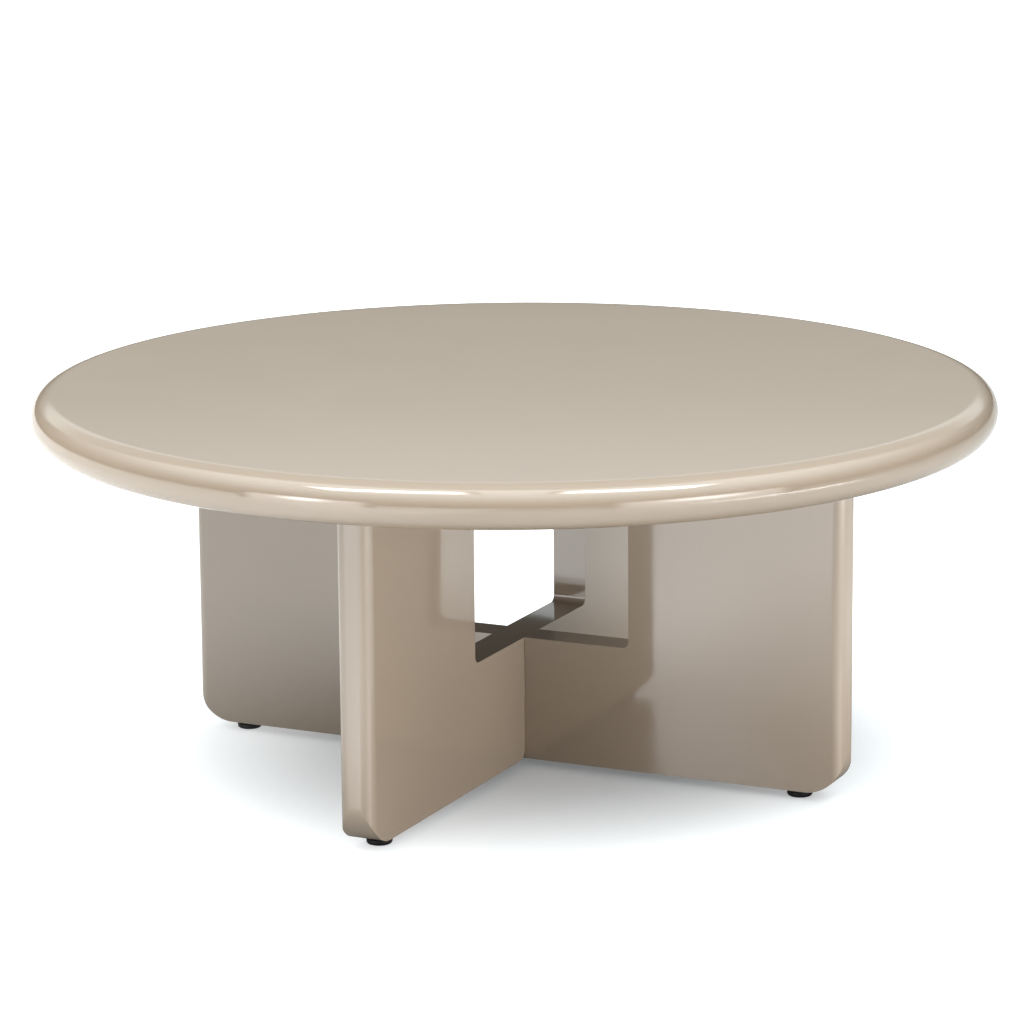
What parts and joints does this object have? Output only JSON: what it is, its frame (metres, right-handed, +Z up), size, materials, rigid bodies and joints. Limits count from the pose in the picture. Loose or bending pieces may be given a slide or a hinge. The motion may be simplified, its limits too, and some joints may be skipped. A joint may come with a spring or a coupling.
{
  "type": "round cocktail table",
  "caption": "Low round table: thick bullnosed lacquered disc on a base of crossed slab panels, halved together and cut out at the centre, on screw-adjusted round feet.",
  "frame": {"origin": "on the floor, under the centre of the top", "axes": "+Z up; +X along the left-to-right panel towards the right leg; -Y towards the front leg"},
  "size_m": [1.0668, 1.0666, 0.4335],
  "materials": {
    "greige_lacquer": "high-gloss polyester lacquer on MDF, warm greige, slight orange peel",
    "zinc_plated_steel": "zinc-plated steel, satin",
    "beech": "bare turned beech",
    "black_nylon": "moulded black nylon, fine matt"
  },
  "bodies": {
    "table": {"tabletop": "greige_lacquer", "left_right_panel": "greige_lacquer", "front_back_panel": "greige_lacquer", "top_bracket_right": "zinc_plated_steel", "top_bracket_back": "zinc_plated_steel", "top_bracket_left": "zinc_plated_steel", "top_bracket_front": "zinc_plated_steel", "bracket_screws": "zinc_plated_steel", "bracket_bolts": "zinc_plated_steel", "bracket_washers": "zinc_plated_steel", "top_inserts": "zinc_plated_steel", "leveller_insert_right": "zinc_plated_steel", "leveller_insert_back": "zinc_plated_steel", "leveller_insert_left": "zinc_plated_steel", "leveller_insert_front": "zinc_plated_steel", "locating_dowels": "beech"},
    "pad_right": {"leveller_pad_right": "black_nylon"},
    "stem_right": {"leveller_stem_right": "zinc_plated_steel"},
    "pad_back": {"leveller_pad_back": "black_nylon"},
    "stem_back": {"leveller_stem_back": "zinc_plated_steel"},
    "pad_left": {"leveller_pad_left": "black_nylon"},
    "stem_left": {"leveller_stem_left": "zinc_plated_steel"},
    "pad_front": {"leveller_pad_front": "black_nylon"},
    "stem_front": {"leveller_stem_front": "zinc_plated_steel"}
  },
  "joints": [
    {"name": "pad_slide_right", "type": "slide", "parent": "table", "child": "pad_right", "axis": [0, 0, -1], "range_m": [0, 0.01]},
    {"name": "stem_turn_right", "type": "hinge", "parent": "pad_right", "child": "stem_right", "pos_m": [0.3427, 0, 0.009], "axis": [0, 0, -1], "range_deg": [0, 3060]},
    {"name": "pad_slide_back", "type": "slide", "parent": "table", "child": "pad_back", "axis": [0, 0, -1], "range_m": [0, 0.01]},
    {"name": "stem_turn_back", "type": "hinge", "parent": "pad_back", "child": "stem_back", "pos_m": [0, 0.3427, 0.009], "axis": [0, 0, -1], "range_deg": [0, 3060]},
    {"name": "pad_slide_left", "type": "slide", "parent": "table", "child": "pad_left", "axis": [0, 0, -1], "range_m": [0, 0.01]},
    {"name": "stem_turn_left", "type": "hinge", "parent": "pad_left", "child": "stem_left", "pos_m": [-0.3427, 0, 0.009], "axis": [0, 0, -1], "range_deg": [0, 3060]},
    {"name": "pad_slide_front", "type": "slide", "parent": "table", "child": "pad_front", "axis": [0, 0, -1], "range_m": [0, 0.01]},
    {"name": "stem_turn_front", "type": "hinge", "parent": "pad_front", "child": "stem_front", "pos_m": [0, -0.3427, 0.009], "axis": [0, 0, -1], "range_deg": [0, 3060]}
  ],
  "couplings": [
    {"joint": "stem_turn_right", "follows": "pad_slide_right", "rad_per_m": 5026.5},
    {"joint": "stem_turn_back", "follows": "pad_slide_back", "rad_per_m": 5026.5},
    {"joint": "stem_turn_left", "follows": "pad_slide_left", "rad_per_m": 5026.5},
    {"joint": "stem_turn_front", "follows": "pad_slide_front", "rad_per_m": 5026.5}
  ]
}
